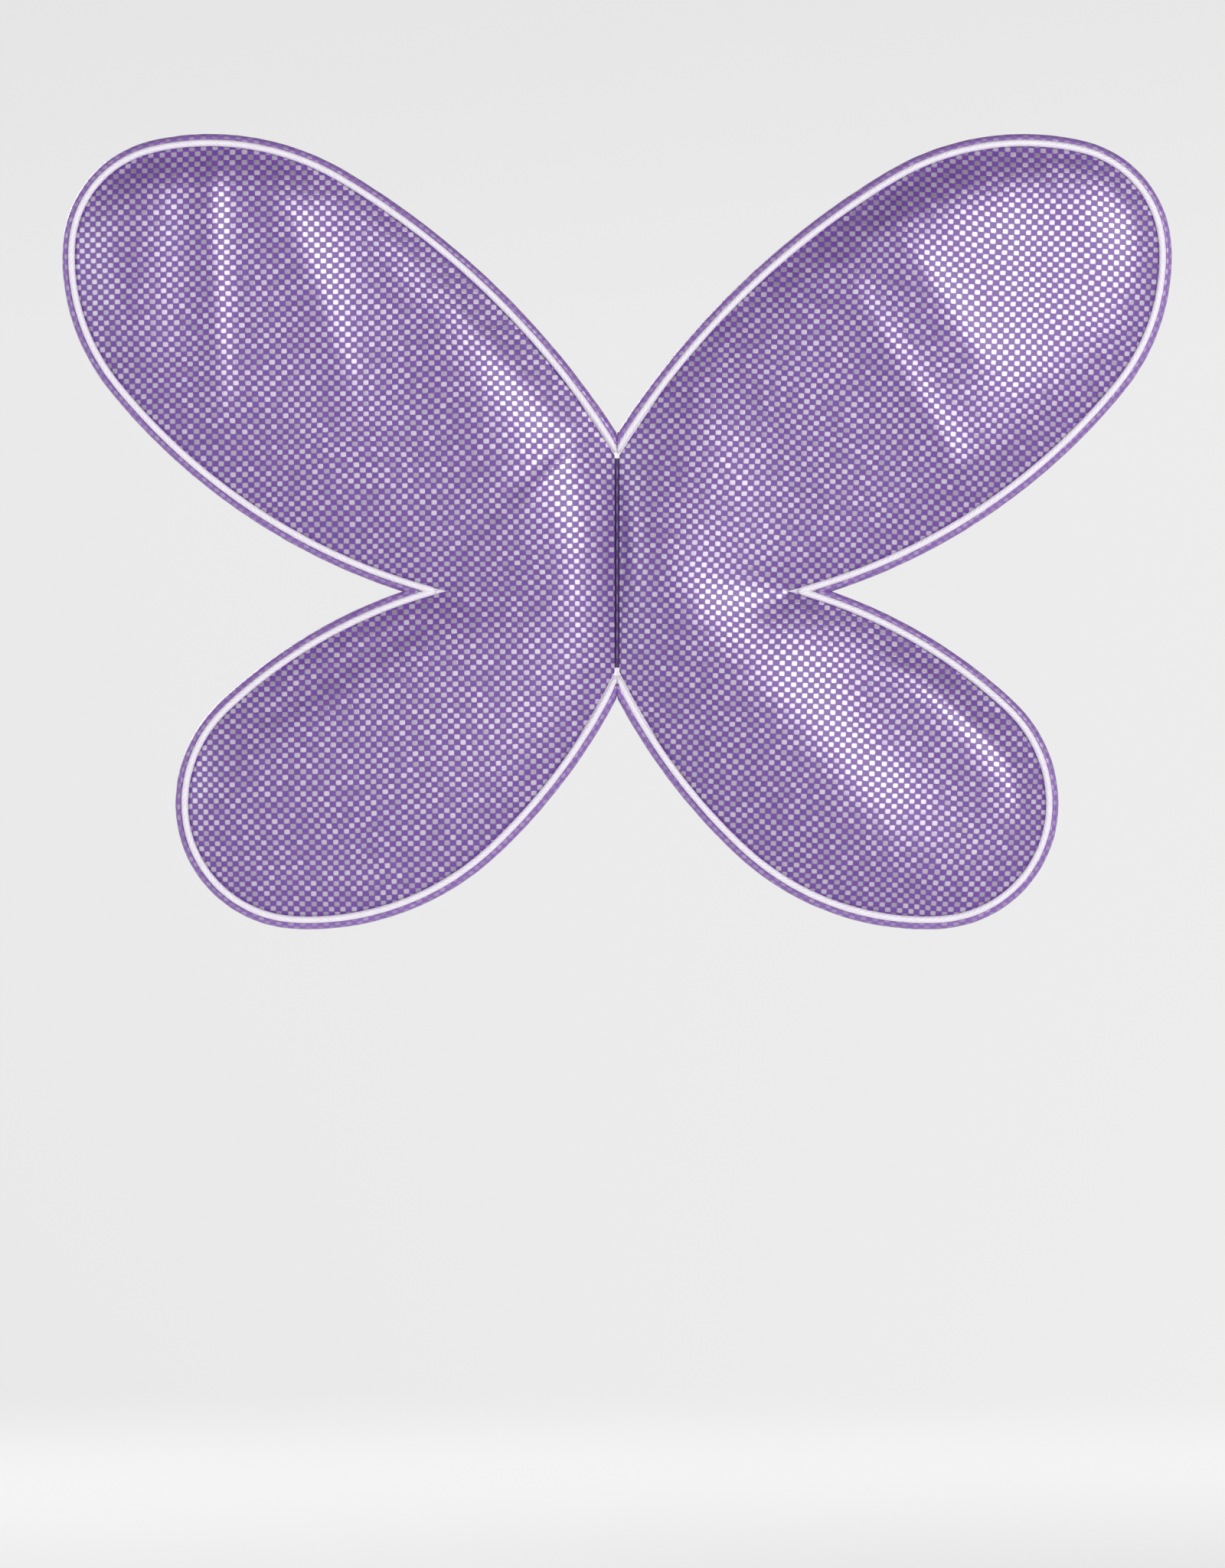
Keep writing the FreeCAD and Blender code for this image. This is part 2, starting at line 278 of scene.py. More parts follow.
UPPER, LOWER = petal_lines()
MITRE_Z = float(UPPER[-1, 1])
UPPER_OUT = right_normals(UPPER)
LOWER_OUT = right_normals(LOWER)
if UPPER_OUT[len(UPPER) // 4, 1] < 0.0:
    UPPER_OUT = -UPPER_OUT
    LOWER_OUT = -LOWER_OUT


def offset_lines(inset):
    """Both lines at an inset, kept on their own side of the mitre, and run on to the centre."""
    shift = PANEL_INSET - inset
    upper = UPPER + UPPER_OUT * shift
    lower = LOWER + LOWER_OUT * shift
    upper[:, 1] = np.where(np.arange(len(upper)) > len(upper) // 2,
                           np.maximum(upper[:, 1], MITRE_Z), upper[:, 1])
    lower[:, 1] = np.where(np.arange(len(lower)) < len(lower) // 2,
                           np.minimum(lower[:, 1], MITRE_Z), lower[:, 1])
    upper[0] = run_on(upper[0], upper[RUN_ON_STEPS])
    lower[-1] = run_on(lower[-1], lower[-1 - RUN_ON_STEPS])
    return upper, lower


def run_on(end, before):
    """The end of a line, moved along it to the centre line."""
    run = end - before
    return end + run * (-end[0] / run[0])


def trimmed_lines(inset):
    """As offset_lines, but each line stops where it meets the mitre."""
    upper, lower = offset_lines(inset)
    off = np.nonzero(np.abs(upper[:, 1] - MITRE_Z) > ON_MITRE)[0]
    upper = upper[:off[-1] + 2]
    on = np.nonzero(np.abs(lower[:, 1] - MITRE_Z) > ON_MITRE)[0]
    lower = lower[max(0, on[0] - 1):]
    return upper, lower


def closed_outline(inset):
    upper, lower = trimmed_lines(inset)
    outline = np.concatenate([upper, lower[1:]])
    outline[:, 0] = np.minimum(outline[:, 0], -CREASE_HALF)
    return outline


# ---- cloth surfaces ----

# Folds in the outer cloth, listed as (x, z) from, (x, z) to, half width, and height, which is
# negative for a dip.
FOLDS = {
    "left": [
        ((-108, 45), (-104, 90), 9.0, 1.35),
        ((-90.4, 90.0), (-88.6, 40.0), 3.2, 0.85),
        ((-75, 84), (-62, 46), 4.6, 0.72),
        ((-62, 76), (-48, 54), 6.0, -0.55),
        ((-30, 40), (-21, 20), 13.0, 1.3),
        ((-16, 24), (-36, 1), 3.0, -0.8),
        ((-20, 16), (-40, -4), 2.6, 0.7),
        ((-9, 20), (-9, -22), 6.0, 0.5),
        ((-46, -12), (-90, -40), 4.4, -0.9),
        ((-88, -62), (-50, -66), 8.0, -0.9),
    ],
    "right": [
        ((45, 72), (73, 26), 3.4, 0.8),
        ((60, 75), (76, 51.5), 4.5, 0.7),
        ((62, 84), (82, 22), 20.0, 2.3),
        ((22, 46), (36, 16), 9.0, -0.7),
        ((2, 6), (51, -52), 11.5, 2.0),
        ((69, -24), (90, -52), 9.0, 1.35),
        ((24, -34), (46, -66), 5.0, 0.4),
    ],
}
FOLD_END = 7.0  # a fold dies out over this distance past its ends
FOLD_END_WIDTHS = 1.2  # and over this many of its half widths more

PUFF_FRONT = 3.1
PUFF_BACK = 1.0
PUFF_REACH = 7.5
FRONT_RIM = 1.5
BACK_RIM = -1.45
DRIFT = (0.35, 28.0)  # height and size of the cloth's slow unevenness
CREEP = (0.06, 8.0)  # and of its small unevenness
WADDING_GAP = 1.5  # the filling is this far under the outer cloth, and half that inside the inner
WADDING_START = 9.0
PUCKER = (0.06, 5.0, 2.4)  # height, spacing and reach of the gathers beside the piping
PUCKER_START = 0.8  # the front's gathers rise over this distance from its edge
FOLD_CLEAR = 9.0  # so do its folds and drift,
BACK_CLEAR = 6.0  # the back's drift,
CREEP_CLEAR = 3.0  # and the small unevenness
BACK_DRIFT = 0.6  # the back's drift, as a share of the front's
BACK_FLAT = 26.0  # the back is flat at the crease and swells over this distance
BACK_CLIMB = 1.6  # the back leaves the crease this many times as fast
CREASE_LEVELS = (0.1, -0.15)  # heights of the front and back cloths in the crease
FRONT_SEED = 3.0
BACK_SEED = 13.0
CREEP_SEED = 5.0  # added to the front's or the back's
PUCKER_SEED = 9.0
WADDING_RIM = 0.2  # half thickness at the filling's edge
WADDING_THIN = 0.25  # least half thickness elsewhere
WADDING_NOTCH = 4.0  # the filling stays this far from the side notch
ROW_SHARE = 0.866  # height of an even triangle, as a share of its side
RIM_CLEAR = 0.55  # least share of a step from the outline to the grid
INSIDE_ONLY = 1  # delaunay_2d_cdt keeps only the triangles inside the outline
CDT_GAP = 1e-4
BATCH = 2000  # points measured at a time


def fold_height(points, folds):
    total = np.zeros(len(points))
    for start, end, width, height in folds:
        a, b = np.array(start, float), np.array(end, float)
        run = b - a
        length = np.linalg.norm(run)
        run /= length
        along = (points - a) @ run
        across = np.abs((points - a) @ np.array([-run[1], run[0]]))
        past = np.maximum(np.maximum(-along, along - length), 0.0)
        bend = across / width
        fade = FOLD_END + FOLD_END_WIDTHS * width
        total += height * np.exp(-bend * bend) * np.exp(-(past / fade) ** 2)
    return total


def inside_distance(points, outline, closed=True):
    """Distance to the outline, and how far along the outline the nearest place is."""
    a = outline if closed else outline[:-1]
    b = np.roll(outline, -1, axis=0) if closed else outline[1:]
    run = b - a
    length2 = np.maximum((run ** 2).sum(1), TINY)
    best = np.full(len(points), FAR)
    where = np.zeros(len(points))
    for k in range(0, len(points), BATCH):
        part = points[k:k + BATCH]
        r = part[:, None, :] - a[None]
        u = np.clip((r * run[None]).sum(2) / length2, 0.0, 1.0)
        gap = np.linalg.norm(r - u[..., None] * run[None], axis=2)
        nearest = gap.argmin(1)
        best[k:k + BATCH] = gap[np.arange(len(part)), nearest]
        where[k:k + BATCH] = nearest * EDGE_STEP
    return best, where


def cloth_grid(outline):
    """Triangles over the inside of an outline: its own points, then an even grid."""
    low, high = outline.min(0), outline.max(0)
    rows = int((high[1] - low[1]) / (CLOTH_STEP * ROW_SHARE)) + 1
    grid = []
    for i in range(rows):
        z = low[1] + (i + 0.5) * CLOTH_STEP * ROW_SHARE
        shift = 0.5 * (i % 2)
        columns = int((high[0] - low[0]) / CLOTH_STEP) + 1
        grid += [(low[0] + (j + shift) * CLOTH_STEP, z) for j in range(columns)]
    grid = np.array(grid)
    gap, _ = inside_distance(grid, outline)
    grid = grid[(gap > CLOTH_STEP * RIM_CLEAR) & contains(outline, grid)]
    points = np.concatenate([outline, grid])
    count = len(outline)
    rim = [(i, (i + 1) % count) for i in range(count)]
    made = geometry.delaunay_2d_cdt([Vector(p) for p in points], rim, [list(range(count))],
                                    INSIDE_ONLY, CDT_GAP)
    places = np.array([(v.x, v.y) for v in made[0]])
    return places, [tuple(face) for face in made[2]]


def contains(outline, points):
    """True for each point inside the outline, by counting crossings."""
    inside = np.zeros(len(points), bool)
    x, z = points[:, 0], points[:, 1]
    for (x0, z0), (x1, z1) in zip(outline, np.roll(outline, -1, axis=0)):
        if z0 == z1:
            continue
        spans = (z0 > z) != (z1 > z)
        inside ^= spans & (x < (x1 - x0) * (z - z0) / (z1 - z0) + x0)
    return inside


def climb(x):
    """0 at the centre crease, 1 well clear of it, with steep sides to the stitched groove."""
    x = np.abs(x)
    return (1.0 - SEAM_DIP * np.exp(-x / SEAM_REACH)) * smooth((x - SEAM_START) / SEAM_GROOVE)


def edge_gap(points, outline):
    """Distance from the stitched edge. The centre crease doesn't count as an edge."""
    off_centre = outline[np.abs(outline[:, 0]) > CREASE_HALF + ON_CREASE]
    return inside_distance(points, off_centre, False)


def unmirrored(points, side):
    """Points worked out for the left wing, where they lie in this one."""
    return points * np.array([-SIDES[side], 1.0])


def gathers(along, seed):
    """Small gathers along the edge, from -1 to 1."""
    return wobbles(np.stack([along, np.zeros_like(along)], axis=1), PUCKER[1], seed)


def front_height(points, outline, side):
    gap, along = edge_gap(points, outline)
    real = unmirrored(points, side)
    seed = FRONT_SEED + SIDES[side]
    free = smooth(gap / FOLD_CLEAR)
    height = FRONT_RIM + PUFF_FRONT * (1.0 - np.exp(-gap / PUFF_REACH))
    height += free * fold_height(real, FOLDS[side])
    height += free * DRIFT[0] * wobbles(real, DRIFT[1], seed)
    height += smooth(gap / CREEP_CLEAR) * CREEP[0] * wobbles(real, CREEP[1], seed + CREEP_SEED)
    pucker = PUCKER[0] * gathers(along, seed + PUCKER_SEED) * np.exp(-gap / PUCKER[2])
    height += pucker * smooth(gap / PUCKER_START)
    return height * climb(points[:, 0]) + CREASE_LEVELS[0]


def back_height(points, outline, side):
    gap, along = edge_gap(points, outline)
    real = unmirrored(points, side)
    seed = BACK_SEED + SIDES[side]
    swell = PUFF_BACK * (1.0 - np.exp(-gap / PUFF_REACH)) * smooth(np.abs(real[:, 0]) / BACK_FLAT)
    height = BACK_RIM - swell
    height -= smooth(gap / BACK_CLEAR) * BACK_DRIFT * DRIFT[0] * wobbles(real, DRIFT[1], seed)
    height -= smooth(gap / CREEP_CLEAR) * CREEP[0] * wobbles(real, CREEP[1], seed + CREEP_SEED)
    height -= PUCKER[0] * gathers(along, seed + PUCKER_SEED) * np.exp(-gap / PUCKER[2])
    return height * climb(points[:, 0] * BACK_CLIMB) + CREASE_LEVELS[1]


# The outer cloth is settled by a cloth simulation on a copy ten times the size.
SIM_SCALE = 10.0
SIM_FRAMES = 16
SIM_SPARE = -0.018  # the cloth is this much larger than its frame
SIM_CLOTH = {
    "quality": 6,
    "mass": 0.25,
    "tension_stiffness": 30.0,
    "compression_stiffness": 30.0,
    "shear_stiffness": 12.0,
    "bending_stiffness": 1.2,
    "air_damping": 4.0,
    "use_pressure": True,
    "uniform_pressure_force": 6.0,
    "shrink_min": SIM_SPARE,
    "shrink_max": SIM_SPARE,
    "vertex_group_mass": "stitched",
}
SIM_EVEN = 14  # rounds of averaging
SIM_CAP = 1.1  # millimetres that a point may move
SIM_RIM = 1.2  # held this close to the stitched edge
SIM_CREASE = 2.2  # and this close to the centre


def evened(moves, mesh, held):
    """Moves averaged with their neighbours', so that the cloth has soft folds and no kinks."""
    ends = np.array([edge.vertices[:] for edge in mesh.edges])
    for _ in range(SIM_EVEN):
        total = moves.copy()
        count = np.ones(len(moves))
        for a, b in ((0, 1), (1, 0)):
            np.add.at(total, ends[:, a], moves[ends[:, b]])
            np.add.at(count, ends[:, a], 1.0)
        moves = total / count[:, None]
        moves[held] = 0.0
    return moves


def settle(piece, held):
    """Lets the cloth slacken and swell between its seams. held says which points are stitched."""
    scene = bpy.context.scene
    rest = np.array([v.co for v in piece.data.vertices])
    double = add_object(piece.name + "_sim", piece.data.copy())
    double.data.vertices.foreach_set("co", (rest * SIM_SCALE).ravel())
    pins = double.vertex_groups.new(name=SIM_CLOTH["vertex_group_mass"])
    pins.add([int(i) for i in np.nonzero(held)[0]], 1.0, "REPLACE")
    cloth = double.modifiers.new("Cloth", "CLOTH")
    for setting, value in SIM_CLOTH.items():
        setattr(cloth.settings, setting, value)
    cloth.settings.effector_weights.gravity = 0.0
    cloth.collision_settings.use_collision = False
    cloth.point_cache.frame_start = 1
    cloth.point_cache.frame_end = SIM_FRAMES
    for step in range(1, SIM_FRAMES + 1):
        scene.frame_set(step)
    shown = double.evaluated_get(bpy.context.evaluated_depsgraph_get())
    settled = np.array([v.co for v in shown.data.vertices]) / SIM_SCALE
    moved = evened(settled - rest, piece.data, held)
    size = np.maximum(np.linalg.norm(moved, axis=1), TINY)
    cap = SIM_CAP * MM
    moved *= (cap * np.tanh(size / cap) / size)[:, None]
    piece.data.vertices.foreach_set("co", (rest + moved).ravel())
    piece.data.update()
    bpy.data.objects.remove(double)
    scene.frame_set(1)


def dot_uv(x, z, side):
    """Where a place lies on the dotted cloth, with the rows turned as they are cut."""
    turn = math.radians(DOT_TILT[side])
    c, s = math.cos(turn), math.sin(turn)
    return (x * c + z * s, -x * s + z * c)


def cloth_piece(name, side, inset, height_of, flip):
    outline = closed_outline(inset)
    points, faces = cloth_grid(outline)
    heights = height_of(points, outline, side)
    sign = -SIDES[side]
    places = in_rows(points, heights, sign)
    uvs = [dot_uv(sign * x, z, side) for x, z in points]
    if (sign < 0) != flip:
        faces = [tuple(reversed(face)) for face in faces]
    return make_piece(name, places, faces, MATERIALS["dots"], uvs), points, outline


def join_to_spine(piece):
    """Bakes the piece's transform into its mesh."""
    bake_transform(piece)


# ---- swept edge pieces ----

BETWEEN_LOBES = np.array([-60.0, 0.0])  # a third of the way along either line, away from here is out


def edge_drop(x):
    """The share of its height that an edge piece keeps, which falls towards the crease."""
    return 1.0 - EDGE_SINK * math.exp(-abs(x) / EDGE_SINK_REACH)


def swept(name, side, inset, height, radii, segments, material, dots=False):
    """A tube along both edge lines, with a rounded end at the notch.

    radii are across the cloth and towards the camera. dots carries the cloth's dots on over the tube.
    """
    sign = -SIDES[side]
    places, faces, uvs = [], [], []
    for line in trimmed_lines(inset):
        normals = right_normals(line)
        third = len(line) // 3
        if normals[third] @ (line[third] - BETWEEN_LOBES) < 0:
            normals = -normals
        first = len(places)
        along = lengths_along(line)
        for i, ((x, z), (nx, nz)) in enumerate(zip(line, normals)):
            swell = 1.0 + EDGE_RIPPLE * wobble(along[i], line[0, 1], RIPPLE_SIZE, 1.0 + sign)
            end = min(along[i], along[-1] - along[i])
            if abs(x) > TUBE_OPEN:
                swell *= math.sqrt(min(1.0, TUBE_END + end / radii[0]))
            level = height * float(edge_drop(x))
            for j in range(segments):
                angle = TURN * j / segments
                out = swell * radii[0] * math.cos(angle)
                up = swell * radii[1] * math.sin(angle)
                px = min(x + nx * out, 0.0)
                places.append(in_metres(sign * px, z + nz * out, level + up))
                if dots:
                    away = radii[1] * (math.pi / 2.0 - angle)
                    uvs.append(dot_uv(sign * (x + nx * away), z + nz * away, side))
                else:
                    uvs.append((along[i], angle * radii[0]))
        faces += ring_faces(len(line), segments, first)
    return closed_piece(name, places, faces, material, uvs)


def tape_piece(name, side):
    """The piping's flat tape, seen beside the cord and as the mitred corner in the notch."""
    sign = -SIDES[side]
    places, faces, uvs = [], [], []
    levels = [offset_lines(inset) for inset in TAPE_INSETS]
    for k in (0, 1):
        lines = [pair[k] for pair in levels]
        first = len(places)
        count = len(lines[0])
        for line, height in zip(lines, TAPE_HEIGHTS):
            for i, (x, z) in enumerate(line):
                x = min(x, 0.0)
                places.append(in_metres(sign * x, z, height * float(edge_drop(x))))
                uvs.append((float(i), height))
        for row in range(len(lines) - 1):
            for i in range(count - 1):
                a = first + row * count + i
                faces.append((a, a + 1, a + count + 1, a + count))
    piece = make_piece(name, places, faces, MATERIALS["satin"], uvs)
    bm = bmesh.new()
    bm.from_mesh(piece.data)
    bmesh.ops.remove_doubles(bm, verts=bm.verts, dist=TAPE_WELD * MM)
    bmesh.ops.recalc_face_normals(bm, faces=bm.faces)
    for face in bm.faces:
        if face.normal.y > 0:
            face.normal_flip()
    bm.to_mesh(piece.data)
    bm.free()
    return piece


def wadding_piece(name, side):
    """Soft filling just inside both cloths, closed round its edge."""
    outline = closed_outline(PANEL_INSET)
    outline = outline[np.abs(outline[:, 0]) > WADDING_START]
    notch = outline[:, 1] == MITRE_Z
    outline = outline + np.where(notch, WADDING_NOTCH, 0.0)[:, None] * np.array([1.0, 0.0])
    points, faces = cloth_grid(outline)
    covered = closed_outline(FRONT_INSET)
    front = front_height(points, covered, side) - WADDING_GAP
    back = back_height(points, covered, side) + WADDING_GAP * 0.5
    rim = np.arange(len(points)) < len(outline)
    front = np.where(rim, WADDING_RIM, np.maximum(front, WADDING_THIN))
    back = np.where(rim, -WADDING_RIM, np.minimum(back, -WADDING_THIN))
    sign = -SIDES[side]
    places = in_rows(points, front, sign) + in_rows(points, back, sign)
    count = len(points)
    closed = faces + [tuple(v + count for v in reversed(face)) for face in faces]
    edge_count = len(outline)
    for i in range(edge_count):
        j = (i + 1) % edge_count
        closed.append((j, i, i + count, j + count))
    uvs = [tuple(p) for p in points] * 2
    return closed_piece(name, places, closed, MATERIALS["wadding"], uvs)


# ---- spine pieces ----

def islands(node):
    """The box of each separate solid in a CAD node, in millimetres."""
    bm = welded(node)
    boxes = []
    seen = set()
    for vert in bm.verts:
        if vert in seen:
            continue
        group, queue = [], [vert]
        seen.add(vert)
        while queue:
            here = queue.pop()
            group.append(here.co / MM)
            for edge in here.link_edges:
                other = edge.other_vert(here)
                if other not in seen:
                    seen.add(other)
                    queue.append(other)
        co = np.array([tuple(c) for c in group])
        boxes.append((co.min(0), co.max(0)))
    bm.free()
    return boxes


# Stitches
THREAD_RADIUS = 0.2
ARCH_FULLNESS = 0.6  # under 1, a stitch rises steeply and runs flat
THREAD_PINCH = 0.25  # share of its thickness that a thread loses at a stitch's ends
THREAD_TURN = 2.2  # radians over a stitch
PLY_TURN = 5.0
PLY_SHAPE = 0.12
SEAM_STITCH = (-0.15, -0.3)  # y beside the middle plane, and lift
PATCH_STITCH = (-0.12, 0.22)  # y, and lift
TACK_PASSES = 12
TACK_RADIUS = 0.13
TACK_STITCH = (-0.05, -0.16)  # y beside the CAD tack's top, and lift
TACK_SLANT = 0.12
TACK_OVER = 0.2  # a pass runs this far past each side
TACK_RINGS = 7
TACK_SEGMENTS = 6


def thread_arch(start, end, lift, radius, rings=9, segments=8):
    """One stitch: a thread that rises from the cloth and goes back into it."""
    start, end, lift = Vector(start), Vector(end), Vector(lift)
    run = (end - start).normalized()
    across = run.cross(lift).normalized()
    places = []
    for i in range(rings):
        u = i / (rings - 1)
        rise = math.sin(math.pi * u)
        middle = start.lerp(end, u) + lift * (rise ** ARCH_FULLNESS)
        size = radius * (1.0 - THREAD_PINCH + THREAD_PINCH * rise)
        for j in range(segments):
            angle = TURN * j / segments + THREAD_TURN * u
            twist = size * (1.0 + PLY_SHAPE * math.cos(2.0 * (angle - PLY_TURN * u)))
            offset = across * math.cos(angle) + lift.normalized() * math.sin(angle)
            places.append(middle + offset * twist)
    return places, ring_faces(rings, segments)


def threads(name, arches, material):
    places, faces = [], []
    for more_places, more_faces in arches:
        first = len(places)
        places += [p * MM for p in more_places]
        faces += [tuple(v + first for v in face) for face in more_faces]
    return closed_piece(name, places, faces, material, [(0.0, 0.0)] * len(places))


def seam_stitches():
    arches = []
    for low, high in islands("centre_seam_stitches"):
        x = (low[0] + high[0]) / 2.0
        y = FOLD_Y + SEAM_STITCH[0]
        lift = (0.0, SEAM_STITCH[1], 0.0)
        arches.append(thread_arch((x, y, low[2]), (x, y, high[2]), lift, THREAD_RADIUS))
    return threads("seam_thread", arches, MATERIALS["thread"])


def patch_stitches():
    arches = []
    for low, high in islands("patch_stitches"):
        middle = (low + high) / 2.0
        y = PATCH_STITCH[0]
        if high[2] - low[2] > high[0] - low[0]:
            ends = ((middle[0], y, low[2]), (middle[0], y, high[2]))
        else:
            ends = ((low[0], y, middle[2]), (high[0], y, middle[2]))
        arches.append(thread_arch(*ends, (0.0, PATCH_STITCH[1], 0.0), THREAD_RADIUS))
    return threads("patch_thread", arches, MATERIALS["topstitch"])


def loop_tacks():
    """Close zigzag stitches over each end of the elastic."""
    arches = []
    for low, high in islands("arm_loop_tacks"):
        y = high[1] + TACK_STITCH[0]
        lift = (0.0, TACK_STITCH[1], 0.0)
        for i in range(TACK_PASSES):
            z = low[2] + (high[2] - low[2]) * (i + 0.5) / TACK_PASSES
            slant = TACK_SLANT if i % 2 else -TACK_SLANT
            start = (low[0] - TACK_OVER, y, z - slant)
            end = (high[0] + TACK_OVER, y, z + slant)
            arches.append(thread_arch(start, end, lift, TACK_RADIUS, TACK_RINGS, TACK_SEGMENTS))
    return threads("tack_thread", arches, MATERIALS["thread"])


FELT_CORNER = 5.0
FELT_RINGS = 26
FELT_SEGMENTS = 120
FELT_EDGE = (0.28, 0.7)  # how far the cut edge rounds off, and over what width
FELT_DIMPLE = (0.18, 1.4)  # depth, and the square of its reach
FELT_FUZZ = ((0.05, 0.8, 2.0), (0.06, 4.0, 6.0))  # heights, sizes and seeds of two noises
RAY_LENGTH = 40.0  # the rim is found from this far out
RAY_ROUNDS = 40
RAY_STEP = 0.6  # share of the gap closed in a round


def rounded_rim(half):
    """Points round the patch, whose half sizes are given, along evenly turned rays."""
    rim = []
    for j in range(FELT_SEGMENTS):
        angle = TURN * j / FELT_SEGMENTS
        ray = Vector((math.cos(angle), math.sin(angle)))
        reach = RAY_LENGTH
        for _ in range(RAY_ROUNDS):
            p = ray * reach
            qx = max(abs(p.x) - (half[0] - FELT_CORNER), 0.0)
            qz = max(abs(p.y) - (half[1] - FELT_CORNER), 0.0)
            outside = max(abs(p.x) - half[0], abs(p.y) - half[1], math.hypot(qx, qz) - FELT_CORNER)
            reach -= outside * RAY_STEP
        rim.append(ray * reach)
    return rim


def felt_patch():
    """Cut felt with soft edges, a fuzzy face and a dimple under each stitch."""
    low, high = [np.array(c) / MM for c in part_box("back_patch")]
    half = (high - low)[[0, 2]] / 2.0
    middle = (low + high) / 2.0
    stitches = [(a + b) / 2.0 for a, b in islands("patch_stitches")]
    rim = rounded_rim(half)
    rings = range(FELT_RINGS)
    places, uvs = [], []
    for face_y, out, order in ((high[1], 1.0, rings), (low[1], -1.0, reversed(rings))):
        for i in order:
            share = math.sin(0.5 * math.pi * (i + 1) / FELT_RINGS)
            edge = (1.0 - share) * min(half)
            droop = FELT_EDGE[0] * (1.0 - min(1.0, edge / FELT_EDGE[1])) ** 2
            for p in rim:
                x, z = p.x * share, p.y * share
                dimple = 0.0
                for s in stitches:
                    gap = (x - s[0]) ** 2 + (z - s[2]) ** 2
                    dimple += FELT_DIMPLE[0] * math.exp(-gap / FELT_DIMPLE[1]) if out > 0 else 0.0
                fuzz = sum(height * wobble(x, z, size, seed) for height, size, seed in FELT_FUZZ)
                y = face_y - out * (droop + dimple + abs(fuzz))
                places.append((x * MM, y * MM, (z + middle[2]) * MM))
                uvs.append((x, z))
    faces = ring_faces(2 * FELT_RINGS, FELT_SEGMENTS)
    return closed_piece("felt_backing", places, faces, MATERIALS["felt"], uvs)


BINDING_LEAF = 0.75  # how thick the two leaves under the patch are
BINDING_WEB = 0.4  # half the web's thickness
BINDING_TURN = 0.5  # how far the leaves turn up into the web
BINDING_EDGES = (0.1, 0.4)  # height and width of the bevel on a leaf's edge
WEB_TIP = (0.2, 0.3)  # half width and height of the web's tip
WEB_CLEAR = 0.5  # the web stays this far inside the wings' roots
BINDING_STEPS = 60
BINDING_SWAY = (0.06, 6.0, 4.0)  # height, size and seed


def seam_binding():
    """Folded binding: two leaves under the patch and a doubled web that rises to the crease."""
    low, high = [np.array(c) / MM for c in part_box("centre_seam_tape")]
    foot_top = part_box("back_patch")[0].y / MM
    foot = foot_top - BINDING_LEAF
    bevel, inset = BINDING_EDGES
    right = [(high[0], foot_top), (high[0], foot + bevel), (high[0] - inset, foot)]
    right += [(BINDING_WEB + BINDING_TURN, foot - 0.02), (BINDING_WEB, foot - BINDING_TURN)]
    right += [(BINDING_WEB, low[1] + WEB_TIP[1]), (WEB_TIP[0], low[1])]
    left = [(-x, y) for x, y in reversed(right)]
    profile = left[-1:] + right + left[:-1]
    web_top, web_bottom = UPPER[0, 1] - WEB_CLEAR, LOWER[-1, 1] + WEB_CLEAR
    places, uvs = [], []
    for i in range(BINDING_STEPS):
        z = low[2] + (high[2] - low[2]) * i / (BINDING_STEPS - 1)
        sway = BINDING_SWAY[0] * wobble(z, 0.0, *BINDING_SWAY[1:])
        for j, (x, y) in enumerate(profile):
            in_web = y < foot - bevel
            z_here = min(max(z, web_bottom), web_top) if in_web else z
            places.append(((x + sway) * MM, y * MM, z_here * MM))
            uvs.append((z, float(j)))
    faces = ring_faces(BINDING_STEPS, len(profile))
    return closed_piece("seam_binding", places, faces, MATERIALS["tape"], uvs)


# Arm loops: the elastic leaves the patch sideways, goes round the arm and comes back.
ELASTIC_WIDTH = 6.0
ELASTIC_THICKNESS = 0.8
LOOP_END_X = 3.0
LOOP_HEIGHT = 14.0
LOOP_OUT = 18.0
LOOP_DEPTH = 34.0
LOOP_HOLE = Vector((-9.0, 16.0, 0.0))
LOOP_FLAT = Vector((0.0, 1.0, 0.0))  # the elastic's face where it lies on the patch
LOOP_SETTLE = 0.25  # share of the loop over which its face turns towards the hole
LOOP_STEPS = 150
LOOP_TAIL = 5.0  # straight elastic under the patch, at either end
LOOP_TAIL_STEPS = 8
RIBS = 7
RIB_POINTS = 6
RIB_HEIGHT = 0.09
ELASTIC_EDGE = (14, 0.35)  # how late the section thins at its edges, and to what share
ELASTIC_PULSE = (0.012, 4.2)  # how much the width varies, and how fast


def loop_point(u):
    patch_low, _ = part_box("back_patch")
    x = patch_low.x / MM - LOOP_OUT * math.sin(math.pi * u)
    y = patch_low.y / MM - ELASTIC_THICKNESS / 2.0 + LOOP_DEPTH * math.sin(math.pi * u) ** 2
    return Vector((x, y, LOOP_HEIGHT * math.cos(math.pi * u)))


def elastic_section():
    """Half widths and heights round the band: lengthwise ribs and soft rounded edges."""
    points = []
    columns = RIBS * RIB_POINTS
    lateness, thinnest = ELASTIC_EDGE
    for face in (1, -1):
        for i in range(columns + 1):
            share = i / columns * 2.0 - 1.0
            across = face * share * ELASTIC_WIDTH / 2.0
            rib = RIB_HEIGHT * math.cos(math.pi * RIBS * share)
            thick = ELASTIC_THICKNESS / 2.0 - 0.1 + rib
            full = thinnest + (1.0 - thinnest) * (1.0 - abs(share) ** lateness)
            points.append((across, face * thick * full))
    return points


